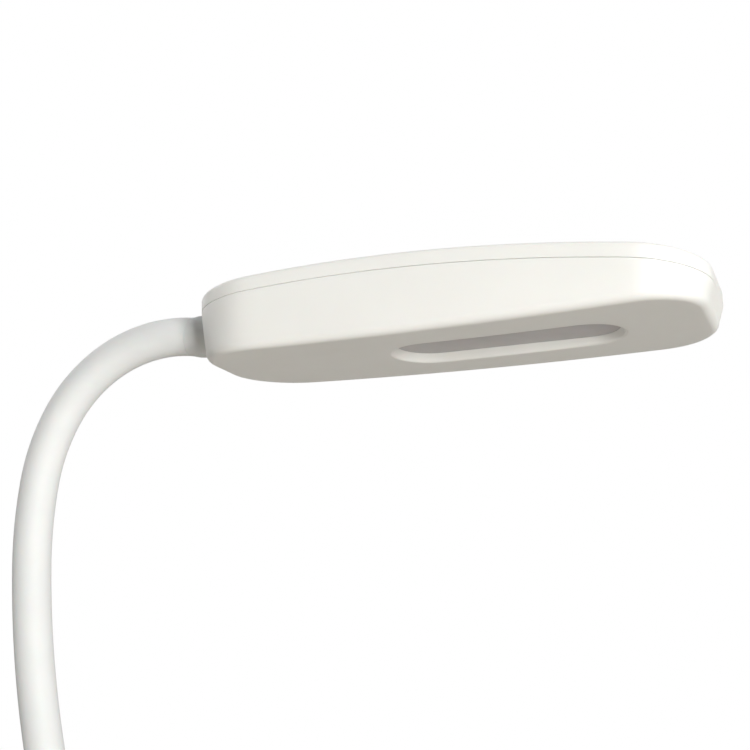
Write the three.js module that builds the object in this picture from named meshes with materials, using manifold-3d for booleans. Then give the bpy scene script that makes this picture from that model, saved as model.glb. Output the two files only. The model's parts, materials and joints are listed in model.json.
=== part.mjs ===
// A clip-on reading lamp: a long LED head on a flexible gooseneck, over a spring clip with the battery.
// Millimetres, +Z up. The origin is the middle of the upper jaw pad's gripping face, which rests on the
// shelf that the lamp is clipped to. +X runs from the clip's handles to its mouth, as does the head.
import * as THREE from "three";
import { LoftGeometry } from "three/addons/geometries/LoftGeometry.js";
import { RoundedBoxGeometry } from "three/addons/geometries/RoundedBoxGeometry.js";
import { mergeVertices } from "three/addons/utils/BufferGeometryUtils.js";
import Module from "manifold-3d";

const wasm = await Module();
wasm.setup();

// ---- Driving dimensions ----

const GAP = 0.3; // between pieces that rest on each other

const HEAD = {
  length: 144,
  width: 56, // at mid length; the plan widens towards the tip by the taper
  taper: 0.117,
  bulge: 0.021,
  corner: 18, // at the tip
  neckCorner: 21,
  cornerSteps: 6,
  sideSteps: 8,
};
const HEAD_SEAM = { middle: 16.7, slope: -3.6, arch: -5.0 }; // the parting line's height
const HEAD_CAMBER = 1.3; // rise of the underside at both ends
const HEAD_RIM = 4.3; // height of the top cover's rim over the parting line
const HEAD_CROWN = 1.6; // rise of the top cover from its rim to its middle
const HEAD_EDGE = 2.5; // radius between the underside and the sides
const HEAD_TOP_EDGE = 1.3;
const HEAD_DRAFT = 1.3; // how far the sides lean in from the parting line to the underside
const HEAD_WALL = 1.8;
const HEAD_FLOOR = 1.6;

const WINDOW = { middle: 15.1, halfLength: 32.6, halfWidth: 11.8, bevel: 1.5, depth: 2.2, rim: 1.2 };
const DIFFUSER = { overlap: 2.2, thickness: 2 };
const REFLECTOR_HEIGHT = 3.6;
const LED_BOARD = { length: 66, width: 20, thickness: 1.2 };
const LED_STRIP = { length: 60, width: 3.2, thickness: 0.8 };

const NECK_RADIUS = 5.7;
const SLEEVE_BORE = 4.1;
const CORE_RADIUS = 3.6;
const CORE_BORE = 2.2;
const CABLE_RADIUS = 1.6;
const SOCKET_RADIUS = 6.2; // the hollow at a link's lower end, round the ball of the link below
const COLLAR_RADIUS = 6.2;
const COLLAR_LENGTH = 8; // outside the head
const NECK_ENTRY_HEIGHT = 12.3; // of the neck's axis over the head's underside
const NECK_JOINTS = 7;
const NECK_STEP = 6.5; // longest straight stretch of a modelled curve
const NECK_BASE_X = -44;
// The neck's centreline from the clip to the head: straight runs, and arcs (positive towards +X).
const NECK_ROUTE = [
  { straight: 34 },
  { radius: 300, turn: -14 },
  { radius: 285, turn: 13 },
  { radius: 130, turn: 11 },
  { radius: 57, turn: 21 },
  { radius: 43, turn: 67 },
  { radius: 60, turn: -8 },
  { straight: 70 }, // starts at the head's end face
];
const NECK_FREE_START = 24; // arc length where the neck is free of its base boot

const BASE = { length: 94, width: 42, taper: 0, bulge: 0, corner: 14, cornerSteps: 6, sideSteps: 2 };
const BASE_MIDDLE_X = -29;
const BASE_BOTTOM = 3;
const BASE_SEAM = 9;
const BASE_TOP = 25;
const BASE_CROWN = 0.8;
const BASE_WALL = 2;
const BASE_EDGE = 2;
const BASE_TOP_EDGE = 4.5;

const PAD = { length: 30, width: 34, thickness: 2.7 };
const PIVOT = { x: -34, z: -7 };
const PIN_RADIUS = 1.6;
const PIN_BORE = 1.75;
const KNUCKLE_RADIUS = 5.5;
const EAR = { inner: 14.5, outer: 18.5 };
const JAW_HALF_WIDTH = 19;
const SPRING = { coilRadius: 4.2, wireRadius: 0.8, turns: 6, pitch: 1.9, legLength: 23 };
const HANDLE_ANGLE = 44; // of the lower handle below the horizontal, with the clip shut

const BUTTON = { x: -8, radius: 7, proud: 1.3, clearance: 0.3, travel: 0.8 };
const SWITCH_DOME = 1.5; // height of the dome inside the switch over its board
const LIGHT_PIPE = { x: 7, radius: 1.3 };
const USB = { width: 9, height: 3.2, depth: 7.4, z: 12.7 };
const BATTERY = { length: 35, width: 22, height: 8, x: -12.5 };
const CONTROL_BOARD = { length: 38, width: 20, thickness: 1.2, x: -52, z: 9.6 };
const SWITCH_BOARD = { length: 24, width: 20, thickness: 1.2, x: -2, z: 15.2 };
const SCREW_SPOTS = [
  [-68, 13.2],
  [-68, -13.2],
  [10, 13.2],
  [10, -13.2],
];

// ---- Materials ----

const plastic = (color, roughness = 0.45) =>
  new THREE.MeshStandardMaterial({ color, roughness, metalness: 0 });
const metal = (color, roughness = 0.35) =>
  new THREE.MeshStandardMaterial({ color, roughness, metalness: 1 });
const MATERIAL = {
  whitePlastic: plastic(0xf0f0ea, 0.42),
  sleeve: plastic(0xe8e9ea, 0.6),
  pad: plastic(0xc9cac8, 0.8),
  diffuser: plastic(0xdcdcdc, 0.5),
  reflector: plastic(0xf8f8f6, 0.3),
  phosphor: plastic(0xe9c84a, 0.7),
  board: plastic(0x1f6b3a, 0.5),
  darkPlastic: plastic(0x24262a, 0.5),
  battery: plastic(0x3d6fa8, 0.35),
  cable: plastic(0xd8d8d8, 0.6),
  steel: metal(0xb8babd),
  aluminium: metal(0xc9cbce, 0.4),
  clear: plastic(0xe8f0f2, 0.1),
};

// ---- Solids: manifold-3d only joins and cuts what three.js shapes ----

function toSolid(geometry) {
  const bare = new THREE.BufferGeometry().copy(geometry);
  for (const name of Object.keys(bare.attributes)) if (name !== "position") bare.deleteAttribute(name);
  const merged = mergeVertices(bare, 1e-4);
  const kept = [];
  const index = merged.index.array;
  for (let i = 0; i < index.length; i += 3) {
    const [a, b, c] = index.slice(i, i + 3);
    if (a !== b && b !== c && a !== c) kept.push(a, b, c);
  }
  const vertProperties = new Float32Array(merged.attributes.position.array);
  const build = (triangles) =>
    new wasm.Manifold(new wasm.Mesh({ numProp: 3, vertProperties, triVerts: new Uint32Array(triangles) }));
  const made = build(kept);
  return made.volume() > 0 ? made : build(kept.reverse());
}

function toGeometry(solid) {
  const mesh = solid.getMesh();
  const geometry = new THREE.BufferGeometry();
  geometry.setAttribute("position", new THREE.BufferAttribute(new Float32Array(mesh.vertProperties), 3));
  geometry.setIndex(new THREE.BufferAttribute(new Uint32Array(mesh.triVerts), 1));
  geometry.computeVertexNormals();
  return geometry;
}

const join = (...solids) => solids.reduce((a, b) => a.add(b));
const cut = (solid, ...tools) => tools.reduce((a, b) => a.subtract(b), solid);

function box(low, high) {
  const size = high.map((value, i) => value - low[i]);
  const geometry = new THREE.BoxGeometry(...size);
  return toSolid(geometry.translate(...low.map((value, i) => value + size[i] / 2)));
}

function roundedBox(low, high, radius) {
  const size = high.map((value, i) => value - low[i]);
  const geometry = new RoundedBoxGeometry(...size, 2, radius);
  return toSolid(geometry.translate(...low.map((value, i) => value + size[i] / 2)));
}

// A turned piece. The profile's [radius, height] points start and end on the axis, or close on themselves.
function turned(profile, sides = 24) {
  return new THREE.LatheGeometry(
    profile.map(([radius, height]) => new THREE.Vector2(radius, height)),
    sides,
  ).rotateX(Math.PI / 2);
}

const rod = (radius, low, high, sides = 24) =>
  turned([[0, low], [radius, low], [radius, high], [0, high]], sides);
const tube = (outer, inner, low, high, sides = 24) =>
  turned([[inner, low], [outer, low], [outer, high], [inner, high], [inner, low]], sides);
const post = (x, y, radius, low, high, sides = 20) =>
  toSolid(rod(radius, low, high, sides).translate(x, y, 0));
const alongX = (geometry) => geometry.rotateY(Math.PI / 2);
const alongY = (geometry) => geometry.rotateX(-Math.PI / 2);

// ---- Plans and shells ----

// A rounded rectangle, counter-clockwise from above, inset evenly. Its sides bulge, and spread towards +X.
function outline(plan, inset) {
  const a = plan.length / 2 - inset;
  const b = plan.width / 2 - inset;
  const tipRadius = Math.max(plan.corner - inset, 1);
  const neckRadius = Math.max((plan.neckCorner ?? plan.corner) - inset, 1);
  const points = [];
  for (let quarter = 0; quarter < 4; quarter++) {
    const sx = quarter === 0 || quarter === 3 ? 1 : -1;
    const sy = quarter < 2 ? 1 : -1;
    const r = sx > 0 ? tipRadius : neckRadius;
    for (let i = 0; i <= plan.cornerSteps; i++) {
      const angle = ((quarter + i / plan.cornerSteps) * Math.PI) / 2;
      points.push([sx * (a - r) + r * Math.cos(angle), sy * (b - r) + r * Math.sin(angle)]);
    }
    if (quarter % 2 === 1) continue;
    const from = sx * (a - r);
    const to = -sx * (a - (sx > 0 ? neckRadius : tipRadius));
    for (let i = 1; i < plan.sideSteps; i++) {
      points.push([from + ((to - from) * i) / plan.sideSteps, sy * b]);
    }
  }
  return points.map(([x, y]) => [x, y * spread(plan, x)]);
}

function spread(plan, x) {
  const share = x / (plan.length / 2);
  return (1 + plan.taper * share) * (1 + plan.bulge * (1 - share ** 2));
}

// Height of a crowned face over its edge, which is the plan's outline at this inset.
function crown(plan, inset, rise, x, y) {
  const along = x / (plan.length / 2 - inset);
  const across = y / ((plan.width / 2 - inset) * spread(plan, x));
  return rise * Math.max(1 - across ** 2, 0) * Math.max(1 - along ** 4, 0);
}

// One ring of a loft. squeeze brings the ring in towards the plan's long axis, for a gently crowned face.
const ring = (plan, inset, height, squeeze = 1) =>
  outline(plan, inset).map(([x, y]) => new THREE.Vector3(x, y * squeeze, height(x, y * squeeze)));

const face = (plan, inset, height, steps) => steps.map((squeeze) => ring(plan, inset, height, squeeze));

// A solid through rings that mirror across y = 0. Each end closes on a ridge along that line.
function loft(rings) {
  const ridge = (points) => points.map(({ x, z }) => new THREE.Vector3(x, 0, z));
  return toSolid(new LoftGeometry([ridge(rings[0]), ...rings, ridge(rings.at(-1))]));
}

// A quarter round, as [inset, drop] pairs from the face's edge to the side.
function quarterRound(radius, steps) {
  return Array.from({ length: steps + 1 }, (_, i) => {
    const angle = (i / steps) * (Math.PI / 2);
    return [radius * (1 - Math.sin(angle)), radius * (1 - Math.cos(angle))];
  });
}

function stadium(halfLength, halfWidth, steps = 10) {
  const straight = halfLength - halfWidth;
  const points = [];
  for (const side of [1, -1]) {
    for (let i = 0; i <= steps; i++) {
      const angle = ((side > 0 ? -0.5 : 0.5) + i / steps) * Math.PI;
      points.push([side * straight + halfWidth * Math.cos(angle), halfWidth * Math.sin(angle)]);
    }
  }
  return points;
}

const stadiumRing = (middle, halfLength, halfWidth, z) =>
  stadium(halfLength, halfWidth).map(([x, y]) => new THREE.Vector3(x + middle, y, z));

const stadiumPlate = (middle, halfLength, halfWidth, low, high) =>
  loft([low, high].map((z) => stadiumRing(middle, halfLength, halfWidth, z)));

// A side profile in X and Z (counter-clockwise, y for z), as thick as 2 * halfWidth with chamfered edges.
function slab(outlinePoints, halfWidth, chamfer) {
  const isApart = (point, i, all) => point.distanceTo(all[(i + 1) % all.length]) > 0.01;
  const points = outlinePoints.filter(isApart);
  const inward = points.map((point, i) => {
    const before = points.at(i - 1);
    const after = points[(i + 1) % points.length];
    const one = point.clone().sub(before).normalize();
    const two = after.clone().sub(point).normalize();
    const half = one.add(two).normalize();
    return new THREE.Vector2(-half.y, half.x);
  });
  const levels = [
    [halfWidth, chamfer],
    [halfWidth - chamfer, 0],
    [chamfer - halfWidth, 0],
    [-halfWidth, chamfer],
  ];
  const rings = levels.map(([y, inset]) =>
    points.map((p, i) => new THREE.Vector3(p.x + inward[i].x * inset, y, p.y + inward[i].y * inset)),
  );
  return toSolid(new LoftGeometry(rings, { capStart: true, capEnd: true }));
}

// ---- The neck's route ----

// Position and heading at an arc length. The heading is the angle from +Z towards +X, in radians.
function routeAt(length) {
  let x = NECK_BASE_X;
  let z = BASE_TOP + BASE_CROWN;
  let heading = 0;
  let left = length;
  for (const stretch of NECK_ROUTE) {
    const turn = THREE.MathUtils.degToRad(stretch.turn ?? 0);
    const full = stretch.straight ?? stretch.radius * Math.abs(turn);
    const share = stretch === NECK_ROUTE.at(-1) ? left / full : Math.min(left / full, 1);
    if (stretch.straight) {
      x += full * share * Math.sin(heading);
      z += full * share * Math.cos(heading);
    } else {
      const signed = stretch.radius * Math.sign(turn);
      x += signed * (Math.cos(heading) - Math.cos(heading + turn * share));
      z += signed * (Math.sin(heading + turn * share) - Math.sin(heading));
      heading += turn * share;
    }
    left -= full * share;
    if (left <= 0) break;
  }
  return { x, z, heading };
}

const lastStraight = NECK_ROUTE.at(-1);
const HEAD_END_AT = NECK_ROUTE.filter((s) => s !== lastStraight).reduce(
  (sum, s) => sum + (s.straight ?? s.radius * THREE.MathUtils.degToRad(Math.abs(s.turn))),
  0.5,
); // arc length at the head's end face, just into the last straight
const JOINT_PITCH = (HEAD_END_AT - COLLAR_LENGTH - NECK_FREE_START) / NECK_JOINTS;
const jointAt = (k) => NECK_FREE_START + JOINT_PITCH * (k - 0.5); // k from 1 to NECK_JOINTS

// Even arc lengths from low to high.
function stepped(low, high) {
  const steps = Math.ceil(Math.abs(high - low) / NECK_STEP);
  return Array.from({ length: steps + 1 }, (_, i) => low + ((high - low) * i) / steps);
}

// A ring of the neck at an arc length, moved along its axis by offset.
function neckRing(length, offset, radius, sides) {
  const { x, z, heading } = routeAt(length);
  const along = new THREE.Vector3(Math.sin(heading), 0, Math.cos(heading));
  const across = new THREE.Vector3(Math.cos(heading), 0, -Math.sin(heading));
  const centre = new THREE.Vector3(x, 0, z).addScaledVector(along, offset);
  return Array.from({ length: sides }, (_, i) => {
    const angle = (i / sides) * 2 * Math.PI;
    return centre
      .clone()
      .addScaledVector(across, radius * Math.cos(angle))
      .add(new THREE.Vector3(0, radius * Math.sin(angle), 0));
  });
}

// A tube along the route. Each end is a list of [offset, radius] pairs from its outer edge to its bore.
function neckTube(from, to, outer, inner, sides, lowerEnd = [], upperEnd = []) {
  const rings = [];
  const lowerLip = lowerEnd.length ? lowerEnd[0][0] : 0;
  stepped(from + lowerLip, to).forEach((s) => rings.push(neckRing(s, 0, outer, sides)));
  upperEnd.slice(1).forEach(([offset, radius]) => rings.push(neckRing(to, offset, radius, sides)));
  const lowerBore = lowerEnd.length ? lowerEnd.at(-1)[0] : 0;
  const upperBore = upperEnd.length ? upperEnd.at(-1)[0] : 0;
  if (!upperBore) rings.push(neckRing(to, 0, inner, sides));
  stepped(to, from + lowerBore)
    .slice(1, -1)
    .forEach((s) => rings.push(neckRing(s, 0, inner, sides)));
  if (!lowerBore) rings.push(neckRing(from, 0, inner, sides));
  [...lowerEnd]
    .reverse()
    .slice(0, -1)
    .forEach(([offset, radius]) => rings.push(neckRing(from, offset, radius, sides)));
  rings.push(rings[0]);
  return toSolid(new LoftGeometry(rings));
}

function neckRod(from, to, radius, sides) {
  const rings = stepped(from, to).map((s) => neckRing(s, 0, radius, sides));
  return toSolid(new LoftGeometry(rings, { capStart: true, capEnd: true }));
}

// [offset, radius] pairs where a ball of this size, centred on a joint, crosses the sleeve's wall.
const ballEnd = (size, radii) =>
  radii.map((radius) => [Math.sqrt(Math.max(size * size - radius * radius, 0)), radius]);
const SLEEVE_RADII = [NECK_RADIUS, SLEEVE_BORE];

// ---- Assembly ----

const lamp = new THREE.Group();

function add(parent, name, shape, material) {
  const geometry = shape.isBufferGeometry ? shape : toGeometry(shape);
  const mesh = new THREE.Mesh(geometry, material);
  mesh.name = name;
  parent.add(mesh);
  return mesh;
}

// A screw with its head down at low, and its shank up to high.
const screw = (headRadius, shankRadius, low, headHeight, high) =>
  turned(
    [[0, low + 0.6], [headRadius * 0.45, low + 0.6], [headRadius * 0.45, low], [headRadius, low],
      [headRadius, low + headHeight], [shankRadius, low + headHeight], [shankRadius, high], [0, high]],
    12,
  );

addNeck(lamp);
addHead(lamp);
addClipBase(lamp);
addJaw(lamp);

function addNeck(parent) {
  const sides = 12;
  const lower = ballEnd(SOCKET_RADIUS, SLEEVE_RADII);
  const upper = ballEnd(NECK_RADIUS, SLEEVE_RADII);
  const first = 2; // above the base ferrule's end
  const sleeveEnd = HEAD_END_AT - COLLAR_LENGTH - 1;
  for (let link = 0; link <= NECK_JOINTS; link++) {
    const isFirst = link === 0;
    const isLast = link === NECK_JOINTS;
    const from = isFirst ? first : jointAt(link);
    const to = isLast ? sleeveEnd : jointAt(link + 1);
    const ends = [isFirst ? [] : lower, isLast ? [] : upper];
    const sleeve = neckTube(from, to, NECK_RADIUS, SLEEVE_BORE, sides, ...ends);
    add(parent, `neck_sleeve_${link}`, sleeve, MATERIAL.sleeve);
    const coreFrom = isFirst ? -5.5 : from + 5.4; // clear of the ball below at every angle
    const coreTo = isLast ? HEAD_END_AT + 11.7 : to - 0.5;
    const core = neckTube(coreFrom, coreTo, CORE_RADIUS, CORE_BORE, 10);
    add(parent, `neck_core_${link}`, core, MATERIAL.steel);
    const cableFrom = isFirst ? -13 : from + 1;
    const cableTo = isLast ? HEAD_END_AT + 58 : to - 1;
    const cable = neckRod(cableFrom, cableTo, CABLE_RADIUS, 8);
    add(parent, `neck_cable_${link}`, cable, MATERIAL.cable);
  }
}

// ---- The head ----

function addHead(parent) {
  const end = routeAt(HEAD_END_AT);
  const head = new THREE.Group();
  head.position.set(end.x + HEAD.length / 2, 0, end.z - NECK_ENTRY_HEIGHT);
  parent.add(head);

  const share = (x) => x / (HEAD.length / 2);
  const underside = (x) => HEAD_CAMBER * share(x) ** 2;
  const seam = (x) => HEAD_SEAM.middle + HEAD_SEAM.slope * share(x) + HEAD_SEAM.arch * share(x) ** 2;
  const rim = (x) => seam(x) + HEAD_RIM;
  const faceSteps = [0, 0.4, 0.72];
  const neckX = -HEAD.length / 2;
  const onNeckAxis = (geometry) => alongX(geometry).translate(0, 0, NECK_ENTRY_HEIGHT);
  const notch = (radius) => toSolid(onNeckAxis(rod(radius, neckX - 4, neckX + 7, 20)));

  // The cradle and the bracket above it hold the neck's ferrule, which the two screws clamp.
  const cradle = { low: neckX + 11, high: neckX + 18, halfWidth: 10.5, screwY: 7.8, screwX: neckX + 14.5 };
  const ferruleRadius = 4.7;
  const ferruleGroove = toSolid(
    onNeckAxis(rod(ferruleRadius + GAP, cradle.low - 1, cradle.high + 1, 16)),
  );
  const screwHoles = [-1, 1].map((side) => post(cradle.screwX, side * cradle.screwY, 1.4, 7, 20, 12));

  // Lower housing: an open shell with the light window's bevelled opening in its floor.
  const edge = quarterRound(HEAD_EDGE, 4);
  const outer = loft([
    ...edge.map(([inset, rise]) => ring(HEAD, HEAD_DRAFT + inset, (x) => underside(x) + rise)),
    ring(HEAD, 0, (x) => seam(x) - GAP / 2),
  ]);
  const hollow = loft([
    ring(HEAD, HEAD_DRAFT + HEAD_WALL + 1, (x) => underside(x) + HEAD_FLOOR),
    ring(HEAD, HEAD_WALL, (x) => seam(x) - 2.5),
    ring(HEAD, HEAD_WALL, (x) => seam(x) + 4),
  ]);
  const { middle, halfLength, halfWidth, bevel, depth, rim: rimWidth } = WINDOW;
  const opening = loft([
    stadiumRing(middle, halfLength + bevel / 2, halfWidth + bevel / 2, -depth / 2),
    stadiumRing(middle, halfLength - bevel, halfWidth - bevel, depth),
    stadiumRing(middle, halfLength - bevel, halfWidth - bevel, depth + 1),
  ]);
  const windowRim = stadiumPlate(
    middle, halfLength + rimWidth, halfWidth + rimWidth, HEAD_FLOOR / 2 + 0.1, depth,
  );
  const cradleBlock = box(
    [cradle.low, -cradle.halfWidth, HEAD_FLOOR + 0.6],
    [cradle.high, cradle.halfWidth, NECK_ENTRY_HEIGHT - GAP],
  );
  const lower = cut(
    join(cut(outer, hollow), windowRim, cradleBlock),
    opening,
    notch(COLLAR_RADIUS + GAP),
    box([neckX - 4, -COLLAR_RADIUS - GAP, NECK_ENTRY_HEIGHT], [neckX + 4, COLLAR_RADIUS + GAP, 30]),
    ferruleGroove,
    ...screwHoles,
  );
  add(head, "head_lower_housing", lower, MATERIAL.whitePlastic);

  // Top cover: a crowned shell whose lip drops inside the lower housing.
  const topEdge = quarterRound(HEAD_TOP_EDGE, 3).reverse();
  const coverTop = (x, y) => rim(x) + crown(HEAD, HEAD_TOP_EDGE, HEAD_CROWN, x, y);
  const lipInset = HEAD_WALL + GAP;
  const lipWall = 1;
  const coverOuter = loft([
    ring(HEAD, 0, (x) => seam(x) + GAP / 2),
    ...topEdge.map(([inset, drop]) => ring(HEAD, inset, (x) => rim(x) - drop)),
    ...face(HEAD, HEAD_TOP_EDGE, coverTop, [...faceSteps].reverse()),
  ]);
  const coverHollow = loft([
    ring(HEAD, lipInset + lipWall, (x) => seam(x) - 4),
    ring(HEAD, lipInset + lipWall, (x) => rim(x) - HEAD_WALL),
    ...face(HEAD, lipInset + lipWall, (x, y) => coverTop(x, y) - HEAD_WALL, [...faceSteps].reverse()),
  ]);
  const lip = loft([
    ring(HEAD, lipInset, (x) => seam(x) - 2),
    ring(HEAD, lipInset, (x) => seam(x) + 1.5),
  ]);
  const cover = cut(
    join(coverOuter, lip),
    coverHollow,
    notch(COLLAR_RADIUS + GAP),
    box([cradle.low - 2, -cradle.halfWidth - 1, 0], [cradle.high + 2, cradle.halfWidth + 1, 18.3]),
  );
  add(head, "head_top_cover", cover, MATERIAL.whitePlastic);

  // Light window: diffuser, reflector frame, and the aluminium board with its line of phosphor.
  const diffuserLow = depth + GAP;
  const diffuserHigh = diffuserLow + DIFFUSER.thickness;
  const innerLength = halfLength - bevel;
  const innerWidth = halfWidth - bevel;
  const lensLength = innerLength + DIFFUSER.overlap;
  const lensWidth = innerWidth + DIFFUSER.overlap;
  const lens = stadiumPlate(middle, lensLength, lensWidth, diffuserLow, diffuserHigh);
  add(head, "light_diffuser", lens, MATERIAL.diffuser);
  const frameLow = diffuserHigh + GAP;
  const frameHigh = frameLow + REFLECTOR_HEIGHT;
  const frame = cut(
    stadiumPlate(middle, lensLength, lensWidth, frameLow, frameHigh),
    loft([
      stadiumRing(middle, innerLength + 1, innerWidth + 1, frameLow - 0.5),
      stadiumRing(middle, innerLength - 2, innerWidth - 4, frameHigh + 0.5),
    ]),
  );
  add(head, "light_reflector", frame, MATERIAL.reflector);
  const boardLow = frameHigh + GAP;
  const board = box(
    [middle - LED_BOARD.length / 2, -LED_BOARD.width / 2, boardLow],
    [middle + LED_BOARD.length / 2, LED_BOARD.width / 2, boardLow + LED_BOARD.thickness],
  );
  add(head, "led_board", board, MATERIAL.aluminium);
  const stripHigh = boardLow - 0.05;
  const strip = stadiumPlate(
    middle, LED_STRIP.length / 2 - 3, LED_STRIP.width / 2, stripHigh - LED_STRIP.thickness, stripHigh,
  );
  add(head, "led_phosphor_strip", strip, MATERIAL.phosphor);

  // The neck's end: collar in the notch, crimped ferrule, clamp bracket and its screws.
  const collarBore = CORE_RADIUS + 0.8;
  const collarStart = neckX - COLLAR_LENGTH;
  const collarEnd = neckX + 4.4;
  const collar = onNeckAxis(
    turned([
      [collarBore, collarStart], [5.4, collarStart], [COLLAR_RADIUS, collarStart + 1.8],
      [COLLAR_RADIUS, collarEnd], [collarBore, collarEnd], [collarBore, collarStart],
    ]),
  );
  add(head, "neck_collar", collar, MATERIAL.sleeve);
  const ferruleStart = collarEnd + GAP;
  const ferruleEnd = cradle.high + 1.5;
  const crimp = CORE_RADIUS + GAP;
  const cableHole = CABLE_RADIUS + GAP;
  const ferrule = onNeckAxis(
    turned([
      [crimp, ferruleStart], [6, ferruleStart], [6, ferruleStart + 1.6],
      [ferruleRadius, ferruleStart + 1.6], [ferruleRadius, ferruleEnd], [cableHole, ferruleEnd],
      [cableHole, neckX + 12], [crimp, neckX + 12], [crimp, ferruleStart],
    ], 16),
  );
  add(head, "head_neck_ferrule", ferrule, MATERIAL.steel);
  const bracket = cut(
    roundedBox(
      [cradle.low, -cradle.halfWidth + 0.4, NECK_ENTRY_HEIGHT + GAP],
      [cradle.high, cradle.halfWidth - 0.4, 18],
      0.6,
    ),
    ferruleGroove,
    ...screwHoles,
    ...[-1, 1].map((side) => post(cradle.screwX, side * cradle.screwY, 2.4, 15.2, 20, 12)),
  );
  add(head, "neck_clamp_bracket", bracket, MATERIAL.whitePlastic);
  [-1, 1].forEach((side, i) => {
    const fixing = screw(1.9, 1, -17.2, 1.6, -8).rotateX(Math.PI);
    fixing.translate(cradle.screwX, side * cradle.screwY, 0);
    add(head, `bracket_screw_${i + 1}`, fixing, MATERIAL.steel);
  });
}

// ---- The clip's fixed half: the base that holds the battery and the controls ----

function addClipBase(parent) {
  const base = new THREE.Group();
  base.position.x = BASE_MIDDLE_X;
  parent.add(base);
  const at = (x) => x - BASE_MIDDLE_X;
  const level = (z) => () => z;
  const faceSteps = [0, 0.5];
  const top = (x, y) => BASE_TOP + crown(BASE, BASE_TOP_EDGE, BASE_CROWN, x, y);
  const lipInset = BASE_WALL + GAP;
  const lipWall = 1;

  // Top cover, with posts for the case screws and for the switch board.
  const topEdge = quarterRound(BASE_TOP_EDGE, 4).reverse();
  const coverOuter = loft([
    ring(BASE, 0, level(BASE_SEAM + GAP / 2)),
    ...topEdge.map(([inset, drop]) => ring(BASE, inset, level(BASE_TOP - drop))),
    ...face(BASE, BASE_TOP_EDGE, top, [...faceSteps].reverse()),
  ]);
  const coverHollow = loft([
    ring(BASE, lipInset + lipWall, level(BASE_SEAM - 4)),
    ring(BASE, lipInset + lipWall, level(BASE_TOP - 4)),
    ring(BASE, lipInset + lipWall + 2, level(BASE_TOP - BASE_WALL)),
  ]);
  const lip = loft([
    ring(BASE, lipInset, level(BASE_SEAM - 2)),
    ring(BASE, lipInset, level(BASE_SEAM + 1.5)),
  ]);
  const posts = SCREW_SPOTS.map(([x, y]) => post(at(x), y, 3, BASE_SEAM + GAP, BASE_TOP - 1, 12));
  const boardPostLow = SWITCH_BOARD.z + SWITCH_BOARD.thickness + GAP;
  const boardPosts = [-1, 1].map((side) =>
    post(at(SWITCH_BOARD.x + 7), side * 7.4, 2.2, boardPostLow, BASE_TOP - 1, 10),
  );
  const screwBores = SCREW_SPOTS.map(([x, y]) => post(at(x), y, 1.4, BASE_SEAM - 3, 18, 10));
  const boardBores = [-1, 1].map((side) => post(at(SWITCH_BOARD.x + 7), side * 7.4, 1.1, 10, 21, 8));
  const usbSlot = roundedBox(
    [at(-80), -USB.width / 2 - 0.4, USB.z - USB.height / 2 - 0.4],
    [at(-70), USB.width / 2 + 0.4, USB.z + USB.height / 2 + 0.4],
    1.6,
  );
  const cover = cut(
    join(cut(join(coverOuter, lip), coverHollow), ...posts, ...boardPosts),
    ...screwBores,
    ...boardBores,
    usbSlot,
    post(at(NECK_BASE_X), 0, 5.6 + GAP, BASE_TOP - 5, BASE_TOP + 3),
    post(at(BUTTON.x), 0, BUTTON.radius + BUTTON.clearance, BASE_TOP - 5, BASE_TOP + 3, 28),
    post(at(LIGHT_PIPE.x), 0, LIGHT_PIPE.radius + GAP, BASE_TOP - 5, BASE_TOP + 3, 12),
  );
  add(base, "base_top_cover", cover, MATERIAL.whitePlastic);

  // Bottom tray, with the two ears that carry the hinge pin.
  const edge = quarterRound(BASE_EDGE, 2);
  const trayOuter = loft([
    ...edge.map(([inset, rise]) => ring(BASE, inset, level(BASE_BOTTOM + rise))),
    ring(BASE, 0, level(BASE_SEAM - GAP / 2)),
  ]);
  const trayHollow = loft([
    ring(BASE, BASE_WALL, level(BASE_BOTTOM + BASE_WALL)),
    ring(BASE, BASE_WALL, level(BASE_SEAM + 3)),
  ]);
  const pillars = SCREW_SPOTS.map(([x, y]) => post(at(x), y, 3.6, BASE_BOTTOM + 0.5, BASE_SEAM - 2.4, 12));
  const pivotX = at(PIVOT.x);
  const ears = [-1, 1].flatMap((side) => {
    const [low, high] = [side * EAR.inner, side * EAR.outer].sort((a, b) => a - b);
    return [
      box([pivotX - KNUCKLE_RADIUS, low, PIVOT.z], [pivotX + KNUCKLE_RADIUS, high, BASE_BOTTOM + 1]),
      toSolid(alongY(rod(KNUCKLE_RADIUS, low, high, 24)).translate(pivotX, 0, PIVOT.z)),
    ];
  });
  const tray = cut(
    join(cut(trayOuter, trayHollow), ...pillars, ...ears),
    toSolid(alongY(rod(PIN_BORE, -30, 30, 16)).translate(pivotX, 0, PIVOT.z)),
    ...SCREW_SPOTS.map(([x, y]) => post(at(x), y, 2.7, 0, BASE_BOTTOM + 2, 12)),
    ...SCREW_SPOTS.map(([x, y]) => post(at(x), y, 1.4, 0, BASE_SEAM, 10)),
  );
  add(base, "base_bottom_tray", tray, MATERIAL.whitePlastic);

  // Upper gripping pad, under the tray.
  const upperPad = roundedBox(
    [at(-PAD.length / 2), -PAD.width / 2, 0],
    [at(PAD.length / 2), PAD.width / 2, PAD.thickness],
    0.8,
  );
  add(base, "upper_jaw_pad", upperPad, MATERIAL.pad);

  // Case screws, up through the tray into the cover's posts.
  SCREW_SPOTS.forEach(([x, y], i) => {
    const fixing = screw(2.3, 1.1, BASE_BOTTOM + 0.2, 1.6, 16).translate(at(x), y, 0);
    add(base, `case_screw_${i + 1}`, fixing, MATERIAL.steel);
  });

  addElectronics(base, at);
  addNeckBase(base, at(NECK_BASE_X));
}

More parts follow.
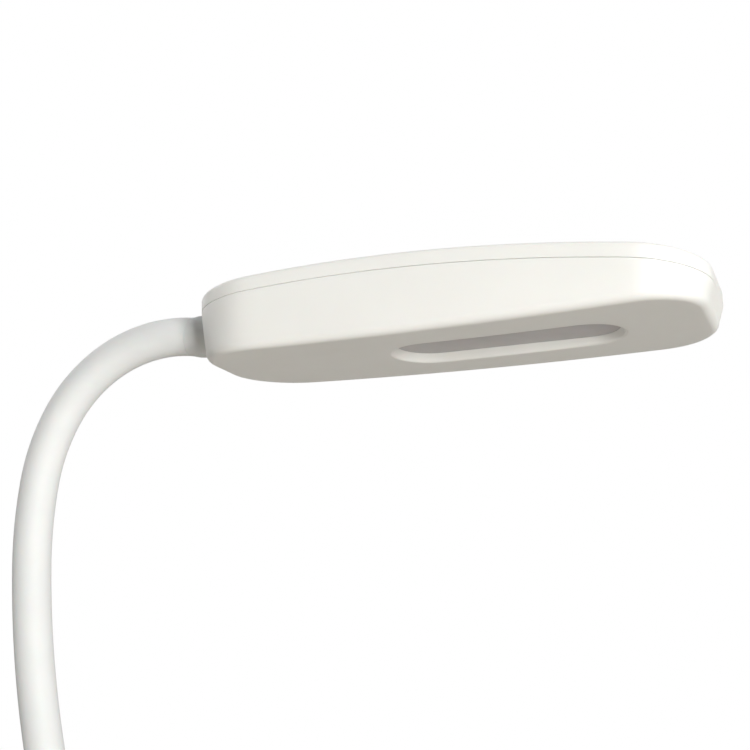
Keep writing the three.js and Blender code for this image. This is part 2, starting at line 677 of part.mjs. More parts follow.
function addElectronics(base, at) {
  const cell = BATTERY;
  const batteryLow = BASE_BOTTOM + BASE_WALL + GAP;
  const battery = roundedBox(
    [at(cell.x - cell.length / 2), -cell.width / 2, batteryLow],
    [at(cell.x + cell.length / 2), cell.width / 2, batteryLow + cell.height],
    1.2,
  );
  add(base, "battery_cell", battery, MATERIAL.battery);

  const plate = (board) =>
    box(
      [at(board.x - board.length / 2), -board.width / 2, board.z],
      [at(board.x + board.length / 2), board.width / 2, board.z + board.thickness],
    );
  add(base, "control_board", plate(CONTROL_BOARD), MATERIAL.board);
  const boardHoles = [-1, 1].map((side) => post(at(SWITCH_BOARD.x + 7), side * 7.4, 1.3, 10, 21, 8));
  add(base, "switch_board", cut(plate(SWITCH_BOARD), ...boardHoles), MATERIAL.board);
  [-1, 1].forEach((side, i) => {
    const fixing = screw(1.9, 0.9, SWITCH_BOARD.z - 1.6, 1.3, 20);
    fixing.translate(at(SWITCH_BOARD.x + 7), side * 7.4, 0);
    add(base, `board_screw_${i + 1}`, fixing, MATERIAL.steel);
  });

  const usbBack = -74.2;
  const port = cut(
    roundedBox(
      [at(usbBack), -USB.width / 2, USB.z - USB.height / 2],
      [at(usbBack + USB.depth), USB.width / 2, USB.z + USB.height / 2],
      1.2,
    ),
    cut(
      roundedBox(
        [at(usbBack - 2), -USB.width / 2 + 0.4, USB.z - 1.2],
        [at(usbBack + 6), USB.width / 2 - 0.4, USB.z + 1.2],
        0.9,
      ),
      box([at(usbBack + 1), -3.3, USB.z - 0.35], [at(usbBack + 7), 3.3, USB.z + 0.35]),
    ),
  );
  add(base, "usb_c_port", port, MATERIAL.steel);

  const switchTop = SWITCH_BOARD.z + SWITCH_BOARD.thickness;
  const tactSwitch = cut(
    box([at(BUTTON.x - 3), -3, switchTop + 0.1], [at(BUTTON.x + 3), 3, switchTop + 3.6]),
    post(at(BUTTON.x), 0, 2, switchTop + SWITCH_DOME, switchTop + 4, 16),
  );
  add(base, "tact_switch", tactSwitch, MATERIAL.darkPlastic);
  const led = box(
    [at(LIGHT_PIPE.x - 1), -0.8, switchTop + 0.1],
    [at(LIGHT_PIPE.x + 1), 0.8, switchTop + 0.9],
  );
  add(base, "charge_led", led, MATERIAL.clear);
  const pipe = turned(
    [[0, switchTop + 1.3], [1.1, switchTop + 1.3], [1.1, 22.4], [2.2, 22.4], [2.2, 22.7],
      [LIGHT_PIPE.radius, 22.7], [LIGHT_PIPE.radius, BASE_TOP + BASE_CROWN + 0.1],
      [0, BASE_TOP + BASE_CROWN + 0.3]],
    12,
  ).translate(at(LIGHT_PIPE.x), 0, 0);
  add(base, "light_pipe", pipe, MATERIAL.clear);

  // The button's cap has a skirt that stops it from lifting out, and a stem that reaches into the switch.
  const buttonTop = BASE_TOP + BASE_CROWN + BUTTON.proud;
  const skirtTop = BASE_TOP - BASE_WALL - GAP;
  const stemLow = switchTop + SWITCH_DOME + BUTTON.travel + GAP;
  const button = turned(
    [[0, stemLow], [1.5, stemLow], [1.5, skirtTop - 0.6], [BUTTON.radius + 1.4, skirtTop - 0.6],
      [BUTTON.radius + 1.4, skirtTop], [BUTTON.radius, skirtTop], [BUTTON.radius, buttonTop - 0.7],
      [BUTTON.radius - 0.8, buttonTop], [BUTTON.radius * 0.5, buttonTop - 0.25], [0, buttonTop - 0.4]],
    28,
  ).translate(at(BUTTON.x), 0, 0);
  add(base, "power_button", button, MATERIAL.whitePlastic);
}

function addNeckBase(base, x) {
  const seat = BASE_TOP + BASE_CROWN;
  const boreRadius = NECK_RADIUS + 0.2;
  const boot = turned([
    [boreRadius, seat + GAP], [11, seat + GAP], [11, seat + 1.6], [9.4, seat + 3.4],
    [8.2, seat + 7], [7.2, seat + 12], [COLLAR_RADIUS + 0.1, seat + 17],
    [COLLAR_RADIUS, seat + 20.4], [COLLAR_RADIUS - 0.4, seat + 21],
    [boreRadius, seat + 21], [boreRadius, seat + GAP],
  ]).translate(x, 0, 0);
  add(base, "neck_base_boot", boot, MATERIAL.sleeve);
  const ferrule = turned([
    [CORE_BORE, 13.6], [5.6, 13.6], [5.6, seat + 2 - GAP], [CORE_RADIUS + GAP, seat + 2 - GAP],
    [CORE_RADIUS + GAP, seat - 6], [CORE_BORE, seat - 6], [CORE_BORE, 13.6],
  ], 20).translate(x, 0, 0);
  add(base, "base_neck_ferrule", ferrule, MATERIAL.steel);
  const ceiling = BASE_TOP - BASE_WALL;
  const washer = tube(8.8, 5.9, ceiling - GAP - 1, ceiling - GAP, 20).translate(x, 0, 0);
  add(base, "neck_washer", washer, MATERIAL.steel);
  const nutHigh = ceiling - 2 * GAP - 1;
  const nut = cut(post(x, 0, 8.6, nutHigh - 4, nutHigh, 6), post(x, 0, 5.9, nutHigh - 5, nutHigh + 1, 20));
  add(base, "neck_nut", nut, MATERIAL.steel);
}

// ---- The clip's moving jaw, its pad, the hinge pin and the torsion spring ----

function addJaw(parent) {
  const pivot = new THREE.Group();
  pivot.position.set(PIVOT.x, 0, PIVOT.z);
  parent.add(pivot);
  const slope = THREE.MathUtils.degToRad(HANDLE_ANGLE);
  const down = new THREE.Vector2(-Math.cos(slope), -Math.sin(slope)); // along the handle
  const out = new THREE.Vector2(-Math.sin(slope), Math.cos(slope)); // away from its upper face
  const from = (along, away) => [down.x * along + out.x * away, down.y * along + out.y * away];

  // Side profile round the pivot: jaw to the right, arch, knuckle, and the handle down to the left.
  const seatZ = -GAP - PAD.thickness - GAP - PIVOT.z;
  const tip = 51.5;
  const padBack = 18;
  const profile = new THREE.Shape();
  profile.moveTo(tip - 2, seatZ);
  profile.lineTo(padBack, seatZ);
  const knuckleX = KNUCKLE_RADIUS * Math.cos(-0.35);
  const knuckleY = KNUCKLE_RADIUS * Math.sin(-0.35);
  profile.bezierCurveTo(padBack - 2.5, seatZ - 5, 10, -3.6, knuckleX, knuckleY);
  profile.absarc(0, 0, KNUCKLE_RADIUS, -0.35, Math.atan2(out.y, out.x), false);
  profile.quadraticCurveTo(...from(24, KNUCKLE_RADIUS), ...from(44, 9.5));
  profile.quadraticCurveTo(...from(47.5, 10), ...from(47, 6.8));
  profile.quadraticCurveTo(...from(26, -1.5), ...from(8, -6.5));
  profile.quadraticCurveTo(0, -9, 12, -8.6);
  profile.quadraticCurveTo(30, -8, tip - 4, -4.8);
  profile.quadraticCurveTo(tip, -4, tip, 0);
  profile.quadraticCurveTo(tip, seatZ, tip - 2, seatZ);
  const blank = slab(profile.getPoints(6), JAW_HALF_WIDTH, 1.2);

  const earSweep = 12; // clears the ears at every angle
  const pocket = 9.4; // half width of the spring's pocket between the knuckles
  const channel = box([0, -pocket, 3], [30, pocket, 12]);
  const jaw = cut(
    blank,
    ...[-1, 1].map((side) => {
      const [low, high] = [side * (EAR.inner - GAP), side * 25].sort((a, b) => a - b);
      return toSolid(alongY(rod(earSweep, low, high, 32)));
    }),
    toSolid(alongY(rod(6.6, -pocket, pocket, 24))),
    toSolid(alongY(rod(PIN_BORE, -30, 30, 16))),
    toSolid(
      toGeometry(channel).applyMatrix4(
        new THREE.Matrix4().makeBasis(
          new THREE.Vector3(down.x, 0, down.y),
          new THREE.Vector3(0, -1, 0),
          new THREE.Vector3(out.x, 0, out.y),
        ),
      ),
    ),
  );
  add(pivot, "lower_jaw", jaw, MATERIAL.whitePlastic);

  const padMiddle = -PIVOT.x;
  const lowerPad = roundedBox(
    [padMiddle - PAD.length / 2, -PAD.width / 2, seatZ + GAP],
    [padMiddle + PAD.length / 2, PAD.width / 2, seatZ + GAP + PAD.thickness],
    0.8,
  );
  add(pivot, "lower_jaw_pad", lowerPad, MATERIAL.pad);

  const pinEnd = EAR.outer + 1.3;
  const pin = alongY(
    turned([
      [0, -pinEnd], [2.4, -pinEnd], [2.4, -EAR.outer - GAP], [PIN_RADIUS, -EAR.outer - GAP],
      [PIN_RADIUS, EAR.outer + GAP], [2.4, EAR.outer + GAP], [2.4, pinEnd], [0, pinEnd],
    ], 16),
  );
  add(pivot, "hinge_pin", pin, MATERIAL.steel);
  add(pivot, "torsion_spring", torsionSpring(slope), MATERIAL.steel);
}

// A coil round the pin whose legs lie along the tray (at the -Y end) and along the handle (at the +Y end).
function torsionSpring(slope) {
  const { coilRadius, wireRadius, turns, pitch, legLength } = SPRING;
  const legRise = 0.2; // radians that the upper leg climbs towards the tray
  const startAngle = Math.PI / 2 - legRise;
  const endAngle = startAngle + turns * 2 * Math.PI + (slope + legRise);
  const halfSpan = (pitch * turns) / 2;
  const centre = (share) => {
    const angle = startAngle + (endAngle - startAngle) * share;
    return new THREE.Vector3(
      coilRadius * Math.cos(angle), -halfSpan + 2 * halfSpan * share, coilRadius * Math.sin(angle),
    );
  };
  const stepsPerTurn = 10;
  const steps = Math.round(((endAngle - startAngle) / (2 * Math.PI)) * stepsPerTurn);
  const points = Array.from({ length: steps + 1 }, (_, i) => centre(i / steps));
  const legDirection = (angle) => new THREE.Vector3(-Math.sin(angle), 0, Math.cos(angle));
  points.unshift(points[0].clone().addScaledVector(legDirection(startAngle), legLength));
  points.push(points.at(-1).clone().addScaledVector(legDirection(endAngle), legLength));
  return toSolid(wire(points, wireRadius, 6));
}

// A round wire through points, as a loft whose rings stand square to the path and don't twist about Y.
function wire(points, radius, sides) {
  const rings = points.map((point, i) => {
    const before = points[Math.max(i - 1, 0)];
    const after = points[Math.min(i + 1, points.length - 1)];
    const along = after.clone().sub(before).normalize();
    const u = new THREE.Vector3(0, 1, 0).addScaledVector(along, -along.y).normalize();
    const v = new THREE.Vector3().crossVectors(along, u);
    return Array.from({ length: sides }, (_, k) => {
      const angle = (k / sides) * 2 * Math.PI;
      return point
        .clone()
        .addScaledVector(u, radius * Math.cos(angle))
        .addScaledVector(v, radius * Math.sin(angle));
    });
  });
  return new LoftGeometry(rings, { capStart: true, capEnd: true });
}

export default lamp;
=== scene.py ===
"""The looks of a clip-on reading lamp, built round its CAD frame.

Shapes are in millimetres in the row frame (+Z up, +X from the clip's handles to its mouth) and become
metres when a mesh is made. Every smooth piece here stands for a CAD node of the same size and place.
"""

import json
import math

import bmesh
import bpy
from mathutils import Euler, Matrix, Vector


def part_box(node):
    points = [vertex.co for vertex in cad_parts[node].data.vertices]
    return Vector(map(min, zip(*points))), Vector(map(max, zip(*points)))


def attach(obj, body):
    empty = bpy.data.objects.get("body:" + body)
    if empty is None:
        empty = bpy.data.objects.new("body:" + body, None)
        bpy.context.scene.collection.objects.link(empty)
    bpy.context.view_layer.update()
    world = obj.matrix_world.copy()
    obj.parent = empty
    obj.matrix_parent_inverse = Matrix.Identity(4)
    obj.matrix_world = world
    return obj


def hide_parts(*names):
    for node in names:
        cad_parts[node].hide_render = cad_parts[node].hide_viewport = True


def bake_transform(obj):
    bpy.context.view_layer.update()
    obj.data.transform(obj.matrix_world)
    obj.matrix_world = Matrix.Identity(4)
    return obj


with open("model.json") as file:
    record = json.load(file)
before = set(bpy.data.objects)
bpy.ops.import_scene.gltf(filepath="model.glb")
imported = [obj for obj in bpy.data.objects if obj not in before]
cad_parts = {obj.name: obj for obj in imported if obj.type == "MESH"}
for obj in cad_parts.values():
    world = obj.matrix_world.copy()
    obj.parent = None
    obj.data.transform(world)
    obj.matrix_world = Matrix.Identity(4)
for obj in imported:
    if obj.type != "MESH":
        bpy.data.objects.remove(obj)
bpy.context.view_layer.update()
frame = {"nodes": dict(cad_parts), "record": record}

MM = 0.001
GAP = 0.3  # between pieces that rest on each other
TAU = 2 * math.pi


def box_mm(node):
    low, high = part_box(node)
    return low / MM, high / MM


# ---- Where things are ----

HEAD_LOW, HEAD_HIGH = box_mm("head_lower_housing")
HEAD_X = (HEAD_LOW.x + HEAD_HIGH.x) / 2  # middle of the head's underside
HEAD_Z = HEAD_LOW.z
HEAD_HALF = 72
HEAD_CAMBER = 1.3  # rise of the underside at both ends
HEAD_SEAM = {"middle": 16.7, "slope": -3.6, "arch": -5.0}  # the parting line's height
HEAD_RIM = 4.3  # height of the top cover's rim over the parting line
HEAD_CROWN = 1.6  # rise of the top cover from its rim to its middle
HEAD_EDGE = 2.5  # radius between the underside and the sides
HEAD_TOP_EDGE = 1.3
HEAD_DRAFT = 1.3  # how far the sides lean in from the parting line to the underside
HEAD_WALL = 1.8
SEAM_GAP = 0.1
SEAM_EDGE = 0.15
NECK_ENTRY = 12.3  # height of the neck's axis over the head's underside

NECK_RADIUS = 5.7
NECK_BORE = 4.7
COLLAR_RADIUS = 6.2
COLLAR_LENGTH = 8
COLLAR_BORE = 4.4
NECK_BASE = Vector((-44, 0, 25.8))
# The neck's centreline from the clip to the head: (radius, length if straight, turn in degrees).
NECK_ROUTE = [
    (0, 34, 0),
    (300, 0, -14),
    (285, 0, 13),
    (130, 0, 11),
    (57, 0, 21),
    (43, 0, 67),
    (60, 0, -8),
    (0, 70, 0),
]
NECK_FREE_START = 24  # arc length where the neck is free of its boot
NECK_JOINTS = 7

BASE_X = -29
BASE_TOP = 25
BASE_CROWN = 0.8
BASE_SEAM = 9
BASE_SEAM_EDGE = 0.35
BASE_BOTTOM = 3
BASE_EDGE = 2
BASE_TOP_EDGE = 4.5
BASE_WALL = 2
CASE_SCREW_SPOTS = [(x, y) for x in (-68, 10) for y in (-13.2, 13.2)]
BUTTON_X = -8
LIGHT_PIPE_X = 7
USB_Z = 12.7

PIVOT = Vector((-34, 0, -7))
PIN_BORE = 1.75
KNUCKLE_RADIUS = 5.5
EAR_INNER = 14.5
EAR_OUTER = 18.5
JAW_HALF_WIDTH = 19
SPRING_SLOT = 9.4  # half the width of the hollow for the spring
PAD = {"half_length": 15, "half_width": 17, "thickness": 2.7}


# ---- Camera ----


def make_camera():
    camera = bpy.data.objects.new("camera", bpy.data.cameras.new("camera"))
    camera.data.sensor_width = 36
    camera.data.lens = 67.2
    camera.data.clip_start = 0.01
    camera.data.clip_end = 30
    camera.location = (Vector((HEAD_X, 0, HEAD_Z)) + Vector((102.1, -361.5, -90.5))) * MM
    camera.rotation_euler = Euler([math.radians(angle) for angle in (102.68, 1.51, 19.46)])
    bpy.context.scene.collection.objects.link(camera)
    bpy.context.scene.camera = camera


make_camera()


# ---- Mesh building ----

SHARP_ANGLE = 32  # degrees between two faces that still shade as one surface


def new_object(name, bm, sharp_angle=SHARP_ANGLE):
    """Cleans a mesh under construction and makes it an object, shaded smooth between sharp edges."""
    bmesh.ops.remove_doubles(bm, verts=bm.verts, dist=2e-6)
    bmesh.ops.dissolve_degenerate(bm, edges=bm.edges, dist=1e-7)
    bmesh.ops.recalc_face_normals(bm, faces=bm.faces)
    mesh = bpy.data.meshes.new(name)
    bm.to_mesh(mesh)
    bm.free()
    obj = bpy.data.objects.new(name, mesh)
    bpy.context.scene.collection.objects.link(obj)
    smooth(obj, sharp_angle)
    return obj


def smooth(obj, sharp_angle=SHARP_ANGLE):
    obj.data.shade_smooth()
    obj.data.set_sharp_from_angle(angle=math.radians(sharp_angle))


def skin(bm, rows):
    """Quads between each closed row of vertices and the next."""
    count = len(rows[0])
    for low, high in zip(rows, rows[1:]):
        for i in range(count):
            k = (i + 1) % count
            bm.faces.new((low[i], low[k], high[k], high[i]))


def grid(name, rings, loop=False, capped=False, sharp_angle=SHARP_ANGLE):
    """A skin over rings of equal length. loop joins the last to the first; capped closes both ends."""
    bm = bmesh.new()
    rows = [[bm.verts.new(Vector(p) * MM) for p in ring] for ring in rings]
    skin(bm, rows + rows[:1] if loop else rows)
    if capped:
        for row in (rows[0], rows[-1]):
            middle = bm.verts.new(sum((v.co for v in row), Vector()) / len(row))
            for i, corner in enumerate(row):
                bm.faces.new((corner, row[(i + 1) % len(row)], middle))
    return new_object(name, bm, sharp_angle)


def turned(name, profile, sides=64, loop=False):
    """A lathed piece about +Z. The (radius, height) profile is on the axis at both ends unless it loops."""
    angles = [TAU * i / sides for i in range(sides)]
    rings = [[(r * math.cos(angle), r * math.sin(angle), z) for angle in angles] for r, z in profile]
    return grid(name, rings, loop=loop)


def cylinder_tool(radius, low, high, sides):
    return turned("tool", [(0, low), (radius, low), (radius, high), (0, high)], sides)


def place(obj, matrix):
    obj.data.transform(matrix)
    return obj


def moved(obj, x=0, y=0, z=0):
    return place(obj, Matrix.Translation(Vector((x, y, z)) * MM))


ALONG_X = Matrix.Rotation(math.pi / 2, 4, "Y")
ALONG_Y = Matrix.Rotation(-math.pi / 2, 4, "X")


def arc(cx, cy, radius, start, end, steps):
    """Points round a corner of a profile, angles in degrees."""
    angles = [math.radians(start + (end - start) * i / steps) for i in range(steps + 1)]
    return [(cx + radius * math.cos(angle), cy + radius * math.sin(angle)) for angle in angles]


def boolean(obj, tools, operation="DIFFERENCE"):
    """Cuts the tools from the object, or joins them to it, and removes them."""
    for tool in tools:
        modifier = obj.modifiers.new("boolean", "BOOLEAN")
        modifier.operation = operation
        modifier.solver = "EXACT"
        modifier.object = tool
    graph = bpy.context.evaluated_depsgraph_get()
    mesh = bpy.data.meshes.new_from_object(obj.evaluated_get(graph))
    obj.modifiers.clear()
    obj.data = mesh
    for tool in tools:
        bpy.data.objects.remove(tool)
    smooth(obj)
    return obj


# ---- Plans: rounded rectangles seen from above ----

# The corners are the radii at the +X end and at the -X end.
HEAD_PLAN = {"length": 2 * HEAD_HALF, "width": 56, "taper": 0.117, "bulge": 0.021, "corners": (18, 21)}
BASE_PLAN = {"length": 94, "width": 42, "taper": 0, "bulge": 0, "corners": (14, 14)}


def spread(plan, x):
    """How much wider than its stated width the plan is at x."""
    share = x / (plan["length"] / 2)
    return (1 + plan["taper"] * share) * (1 + plan["bulge"] * (1 - share**2))


def outline(plan, inset, corner_steps=14, end_steps=6, side_steps=32):
    """The plan drawn in by the inset, counter-clockwise from the middle of the +X end."""
    a = plan["length"] / 2 - inset
    b = plan["width"] / 2 - inset
    tip, neck = (max(corner - inset, 1) for corner in plan["corners"])
    points = []
    for sx, sy, first in ((1, 1, 0), (-1, 1, 90), (-1, -1, 180), (1, -1, 270)):
        r = tip if sx > 0 else neck
        corner = arc(sx * (a - r), sy * (b - r), r, first, first + 90, corner_steps)
        if first in (0, 180):
            points += [(sx * a, sy * (b - r) * i / end_steps) for i in range(end_steps)]
            points += corner
            far = sx * (r + (neck if sx > 0 else tip) - 2 * a)
            points += [(sx * (a - r) + far * i / side_steps, sy * b) for i in range(1, side_steps)]
        else:
            points += corner
            points += [(sx * a, sy * (b - r) * (1 - i / end_steps)) for i in range(1, end_steps)]
    return [(x, y * spread(plan, x)) for x, y in points]


def ring(plan, inset, height, squeeze=1.0):
    """The plan's outline at a height: a number, or a function of x and y. squeeze narrows it in y."""
    z = height if callable(height) else lambda x, y: height
    return [(x, y * squeeze, z(x, y * squeeze)) for x, y in outline(plan, inset)]


def over(plan, inset, level, rise):
    """A ring at a fixed rise over a level that follows x."""
    return ring(plan, inset, lambda x, y: level(x) + rise)


def crown(plan, inset, rise, x, y):
    """The height of a domed top over its rim."""
    along = x / (plan["length"] / 2 - inset)
    across = y / ((plan["width"] / 2 - inset) * spread(plan, x))
    return rise * max(1 - across**2, 0) * max(1 - along**4, 0)


def quarter(radius, steps):
    """(inset, rise) pairs from a flat face round to the side."""
    turns = [math.pi / 2 * i / steps for i in range(steps + 1)]
    return [(radius * (1 - math.sin(turn)), radius * (1 - math.cos(turn))) for turn in turns]


def stadium_like(points, half_length, half_width, middle):
    """A stadium with as many points as the outline given, spaced by that outline's own perimeter."""
    lengths = [0]
    closed = points + points[:1]
    for p, q in zip(closed, closed[1:]):
        lengths.append(lengths[-1] + math.dist(p, q))
    straight = half_length - half_width
    cap = math.pi * half_width / 2
    total = 4 * (cap + straight)
    made = []
    for distance in lengths[:-1]:
        s = distance / lengths[-1] * total
        turn, s = divmod(s, total / 2)
        side = 1 if turn == 0 else -1
        if s <= cap:
            angle = s / half_width
            x, y = straight + half_width * math.cos(angle), half_width * math.sin(angle)
        elif s <= cap + 2 * straight:
            x, y = straight - (s - cap), half_width
        else:
            angle = math.pi / 2 + (s - cap - 2 * straight) / half_width
            x, y = -straight + half_width * math.cos(angle), half_width * math.sin(angle)
        made.append((middle + side * x, side * y))
    return made


# ---- The head ----

WINDOW = {"middle": 15.1, "half_length": 32.6, "half_width": 11.8, "bevel": 1.5, "depth": 2.46}
WINDOW_RIM = 1.2  # the inside of the housing starts this far outside the window
HEAD_INSIDE = 4.4  # inset of the housing's inner floor


def underside(x):
    return HEAD_CAMBER * (x / HEAD_HALF) ** 2


def seam(x):
    share = x / HEAD_HALF
    return HEAD_SEAM["middle"] + HEAD_SEAM["slope"] * share + HEAD_SEAM["arch"] * share**2


def rim(x):
    return seam(x) + HEAD_RIM


def to_head(obj):
    return moved(obj, HEAD_X, 0, HEAD_Z)


def head_bore():
    """The tool for the hole that the collar enters by."""
    tool = cylinder_tool(COLLAR_RADIUS + 0.15, -4, 7, 96)
    return moved(place(tool, ALONG_X), -HEAD_HALF, 0, NECK_ENTRY)


def head_lower_housing():
    w = WINDOW
    base = outline(HEAD_PLAN, HEAD_DRAFT + HEAD_EDGE)

    def window_ring(inset, z, follow=False):
        points = stadium_like(base, w["half_length"] - inset, w["half_width"] - inset, w["middle"])
        return [(x, y, z + (underside(x) if follow else 0)) for x, y in points]

    def mixed(share):
        """A ring on the underside, between the window and the outer edge."""
        inner = window_ring(-0.5, 0, True)
        mid = [(a + (x - a) * share, b + (y - b) * share) for (a, b, _), (x, y) in zip(inner, base)]
        return [(x, y, underside(x)) for x, y in mid]

    def side(inset, share):
        """A ring on the housing's side, by its share of the way up to the parting line."""
        low, high = HEAD_EDGE, SEAM_GAP / 2 + SEAM_EDGE
        return ring(
            HEAD_PLAN, inset, lambda x, y: (underside(x) + low) * (1 - share) + (seam(x) - high) * share
        )

    rings = [window_ring(w["bevel"] + 0.04, w["depth"]), window_ring(w["bevel"], w["depth"] - 0.1)]
    rings += [window_ring(w["bevel"] * (1 - t), w["depth"] * (1 - t)) for t in (0.35, 0.7)]
    rings += [window_ring(inset, z, True) for inset, z in ((0.22, 0.3), (0.02, 0.11), (-0.2, 0.02))]
    rings += [mixed(t) for t in (0, 0.12, 0.3, 0.5, 0.7, 0.88)]
    edge = quarter(HEAD_EDGE, 12)
    rings += [over(HEAD_PLAN, HEAD_DRAFT + inset, underside, rise) for inset, rise in edge]
    rings += [side(HEAD_DRAFT * (1 - t) ** 1.15, t) for t in (0.2, 0.4, 0.6, 0.8, 0.93)]
    lip = -SEAM_GAP / 2
    rings += [over(HEAD_PLAN, inset, seam, lip - drop) for inset, drop in reversed(quarter(SEAM_EDGE, 3))]
    rings += [over(HEAD_PLAN, HEAD_WALL, seam, lip), over(HEAD_PLAN, HEAD_WALL, seam, -2.5)]
    rings.append(over(HEAD_PLAN, HEAD_INSIDE, underside, 1.7))
    rings += [window_ring(-WINDOW_RIM, 1.7), window_ring(-WINDOW_RIM, w["depth"])]
    body = grid("head_housing", rings, loop=True)
    return to_head(boolean(body, [head_bore()]))


def head_top_cover():
    def top(x, y):
        return rim(x) + crown(HEAD_PLAN, HEAD_TOP_EDGE, HEAD_CROWN, x, y)

    def under_top(x, y):
        return top(x, y) - HEAD_WALL

    def side(share):
        return ring(
            HEAD_PLAN, 0, lambda x, y: (seam(x) + 0.5) * (1 - share) + (rim(x) - HEAD_TOP_EDGE) * share
        )

    inside = HEAD_WALL + GAP
    lip = SEAM_GAP / 2
    outer = [over(HEAD_PLAN, inside + 1, seam, -2), over(HEAD_PLAN, inside, seam, -2)]
    outer.append(over(HEAD_PLAN, inside, seam, lip))
    outer += [over(HEAD_PLAN, inset, seam, lip + rise) for inset, rise in quarter(SEAM_EDGE, 3)]
    outer += [side(0.35), side(0.7)]
    outer += [over(HEAD_PLAN, inset, rim, -drop) for inset, drop in reversed(quarter(HEAD_TOP_EDGE, 8))]
    squeezes = (0.97, 0.9, 0.8, 0.66, 0.5, 0.33, 0.16)
    outer += [ring(HEAD_PLAN, HEAD_TOP_EDGE, top, squeeze) for squeeze in squeezes]
    inner = [ring(HEAD_PLAN, inside + 1, under_top, squeeze) for squeeze in (0.3, 0.7)]
    inner.append(over(HEAD_PLAN, inside + 1, rim, -HEAD_WALL))
    cover = closed_shell("head_cover", outer, inner)
    return to_head(boolean(cover, [head_bore()]))


def closed_shell(name, outer, inner):
    """A cup, from rings of the outside, mouth to ridge, and rings of the inside, ridge to mouth."""
    bm = bmesh.new()

    def row(points, flat=False):
        return [bm.verts.new(Vector((p[0], 0 if flat else p[1], p[2])) * MM) for p in points]

    outside = [row(r) for r in outer] + [row(outer[-1], flat=True)]
    inside = [row(inner[0], flat=True)] + [row(r) for r in inner]
    skin(bm, outside)
    skin(bm, inside + outside[:1])
    return new_object(name, bm)


# ---- The neck ----

ROUTE_LENGTHS = [straight or radius * abs(math.radians(turn)) for radius, straight, turn in NECK_ROUTE]
HEAD_END_AT = 0.5 + sum(ROUTE_LENGTHS[:-1])  # arc length just into the last straight
JOINT_PITCH = (HEAD_END_AT - COLLAR_LENGTH - NECK_FREE_START) / NECK_JOINTS
SLEEVE_START = 2.3  # arc length, inside the boot


def route_at(length):
    """(x, z, heading) along the neck, the heading from +Z towards +X in radians."""
    x, z, heading, left = NECK_BASE.x, NECK_BASE.z, 0.0, length
    for (radius, straight, turn), full in zip(NECK_ROUTE, ROUTE_LENGTHS):
        turn = math.radians(turn)
        share = min(left / full, 1)
        if straight:
            x += full * share * math.sin(heading)
            z += full * share * math.cos(heading)
        else:
            signed = math.copysign(radius, turn)
            x += signed * (math.cos(heading) - math.cos(heading + turn * share))
            z += signed * (math.sin(heading + turn * share) - math.sin(heading))
            heading += turn * share
        left -= full * share
        if left <= 1e-9:
            break
    return x, z, heading


def on_route(length):
    x, z, _ = route_at(length)
    return Vector((x, 0, z))


def circle(middle, across, aside, radius, sides):
    """Points round a middle, in the plane of two unit vectors."""
    points = []
    for i in range(sides):
        angle = TAU * i / sides
        points.append(middle + across * (radius * math.cos(angle)) + aside * (radius * math.sin(angle)))
    return points


def neck_ring(length, radius, sides=56):
    x, z, heading = route_at(length)
    across = Vector((math.cos(heading), 0, -math.sin(heading)))
    return circle(Vector((x, 0, z)), across, Vector((0, 1, 0)), radius, sides)


def neck_piece(joint):
    """The sleeve round one of the neck's hinges, from the middle of one link to the middle of the next."""
    middle = NECK_FREE_START + JOINT_PITCH * (joint - 0.5)
    start = SLEEVE_START if joint == 1 else middle - JOINT_PITCH / 2
    end = HEAD_END_AT - COLLAR_LENGTH if joint == NECK_JOINTS else middle + JOINT_PITCH / 2
    steps = math.ceil((end - start) / 1.2)
    stations = [start + (end - start) * i / steps for i in range(steps + 1)]
    rings = [neck_ring(s, NECK_RADIUS) for s in stations]
    rings += [neck_ring(s, NECK_BORE) for s in stations[::-4]]
    if stations[::-4][-1] != stations[0]:
        rings.append(neck_ring(start, NECK_BORE))
    piece = grid(f"neck_skin_{joint}", rings, loop=True, sharp_angle=50)
    first, last = (on_route(middle + side * JOINT_PITCH / 2) for side in (-1, 1))
    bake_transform(piece)
    return piece


def neck_collar():
    """The sleeve's thicker moulded end, which follows the neck's last bend into the head."""
    start, end = -COLLAR_LENGTH + 0.02, 4.4
    outside = [(start, 5.64), (-7.9, 5.72), (-7.3, 5.76), (-6.8, 5.84)]
    outside += [(-6.2, 5.97), (-5.6, 6.09), (-5, 6.17)]
    outside += [(along, COLLAR_RADIUS) for along in (-4.2, -2.5, -1, 0.5, 4.2)]
    outside += [(end, COLLAR_RADIUS - 0.2)]
    inside = [(along, COLLAR_BORE) for along in (end, 0, -4, start)]
    rings = [neck_ring(HEAD_END_AT + along, radius, 72) for along, radius in outside + inside]
    return grid("head_collar", rings, loop=True)


def neck_boot():
    seat = BASE_TOP + BASE_CROWN + GAP
    bore = NECK_RADIUS + 0.15
    foot, foot_edge = 11, 0.6
    profile = [(bore, seat), (foot - 0.3, seat), (foot, seat + 0.3), (foot, seat + 1.3)]
    profile += arc(foot - foot_edge, seat + 1.3, foot_edge, 0, 90, 5)[1:]
    profile += [(r, seat + z) for r, z in ((9.5, 2.4), (8.9, 3.6), (8.4, 5))]
    groove = [(0, 0), (0.05, 1.2), (0.25, 1.5), (0.85, 1.65), (0.95, 2), (0.85, 2.35), (0.4, 2.5)]
    for i in range(4):  # flexing grooves, up the taper
        outer, low = 8.15 - 0.36 * i, seat + 5.6 + 2.7 * i
        profile += [(outer - deep, low + up) for deep, up in groove]
    lip_radius, lip_edge, height = 6.45, 0.5, 20.7
    profile += [(6.55, seat + 17.2), (lip_radius, seat + 19.6)]
    profile += arc(lip_radius - lip_edge, seat + height - lip_edge, lip_edge, 0, 90, 4)
    profile += [(bore, seat + height)]
    return moved(turned("base_boot", profile, 72, loop=True), NECK_BASE.x)


# ---- The clip's case ----


